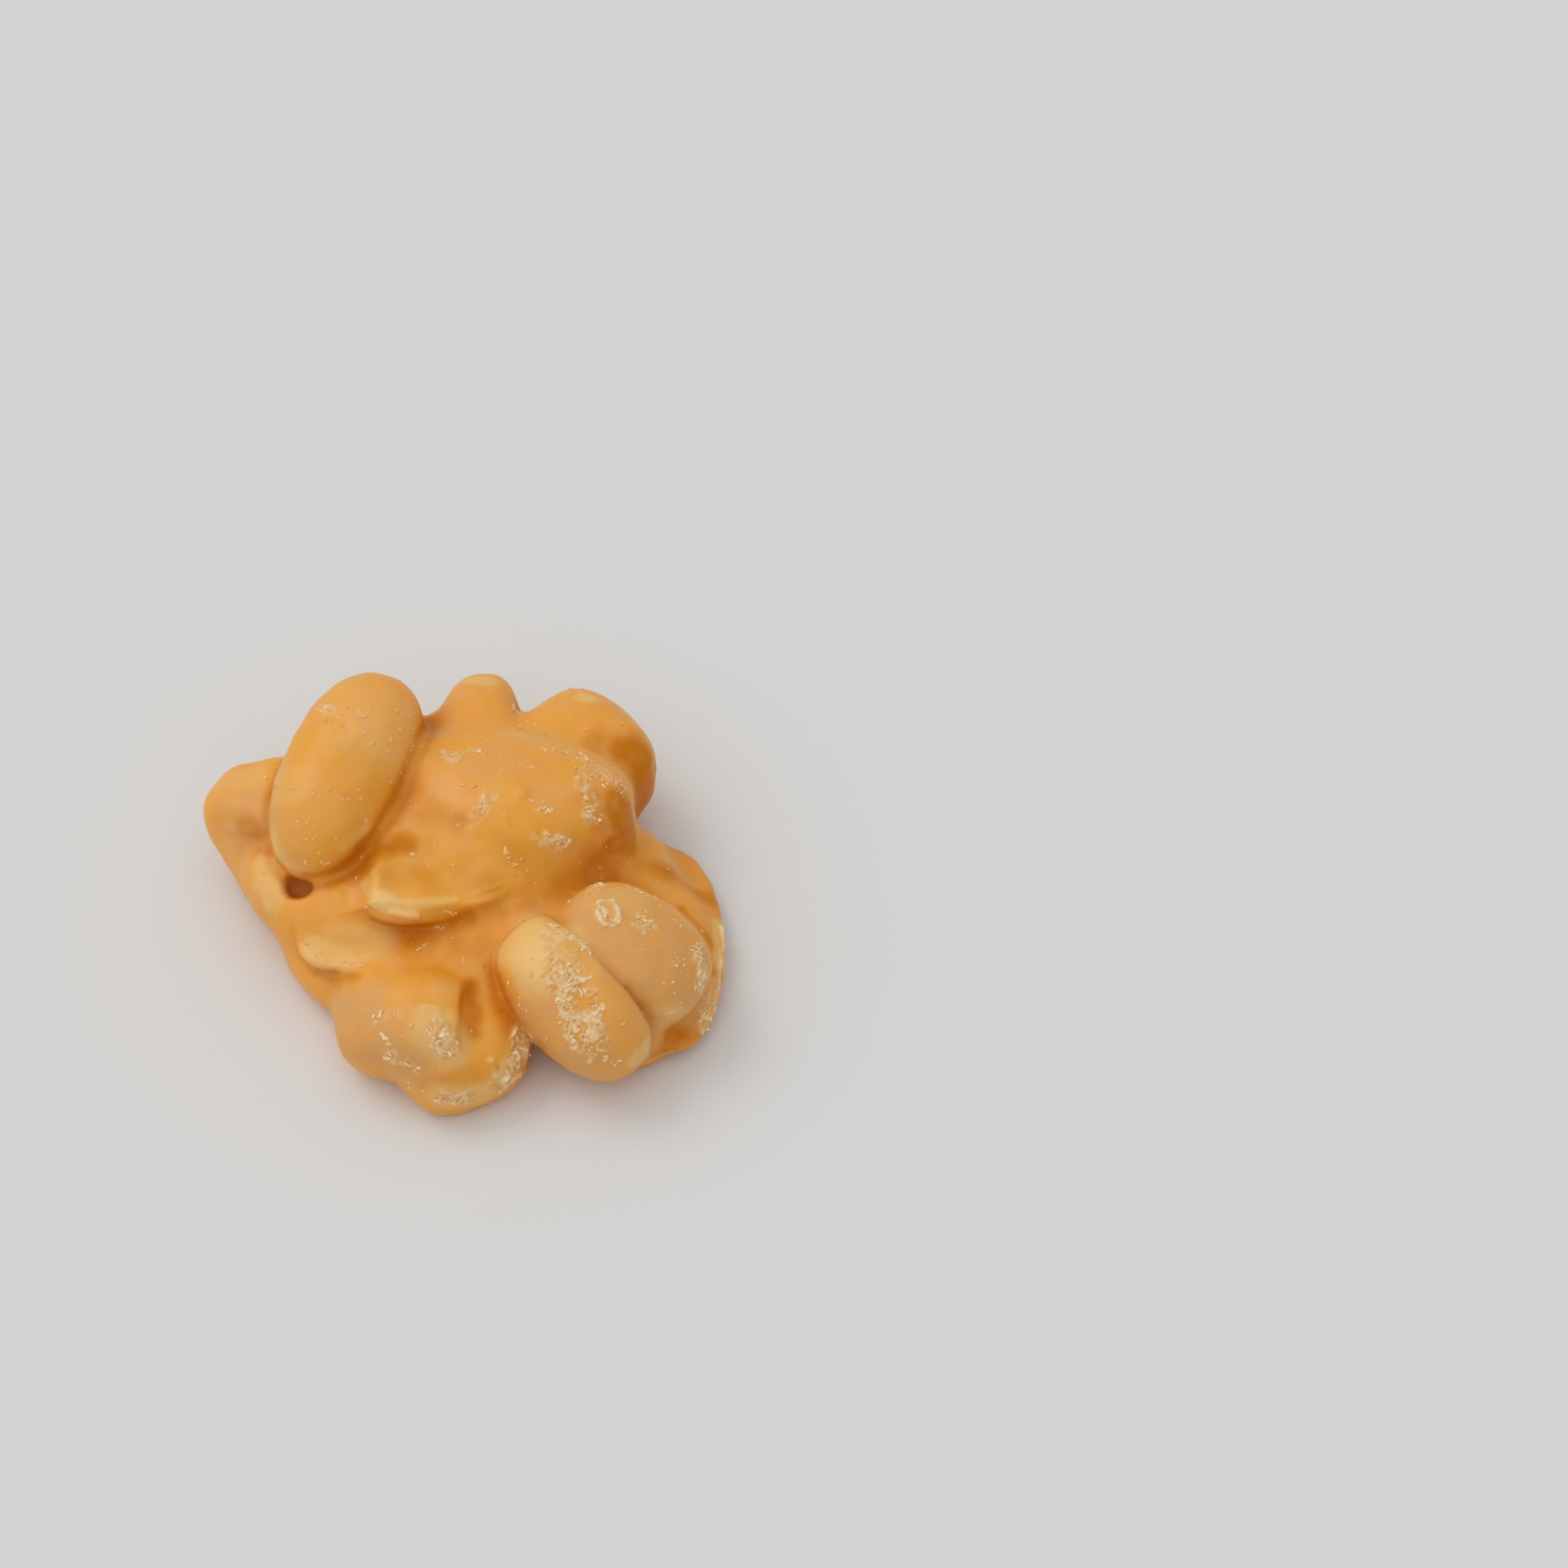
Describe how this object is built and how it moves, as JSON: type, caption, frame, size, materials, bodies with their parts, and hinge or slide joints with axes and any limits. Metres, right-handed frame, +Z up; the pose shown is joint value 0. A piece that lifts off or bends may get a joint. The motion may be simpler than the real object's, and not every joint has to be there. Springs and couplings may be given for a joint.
{
  "type": "caramel peanut cluster",
  "caption": "Irregular candy cluster of whole and split peanuts stuck together under a coat of caramel, low and wide, with a flat underside.",
  "frame": {"origin": "centre of the footprint's bounding box, on the flat underside", "axes": "+Z up, +X along the widest side, -Y towards the side that the picture shows nearest"},
  "size_m": [0.0496, 0.045, 0.0188],
  "materials": {
    "caramel_coat": "light brown caramel coat, satin, with pale crumbs and scuffs"
  },
  "bodies": {
    "root": {"peanut_cluster": "caramel_coat"}
  },
  "joints": []
}
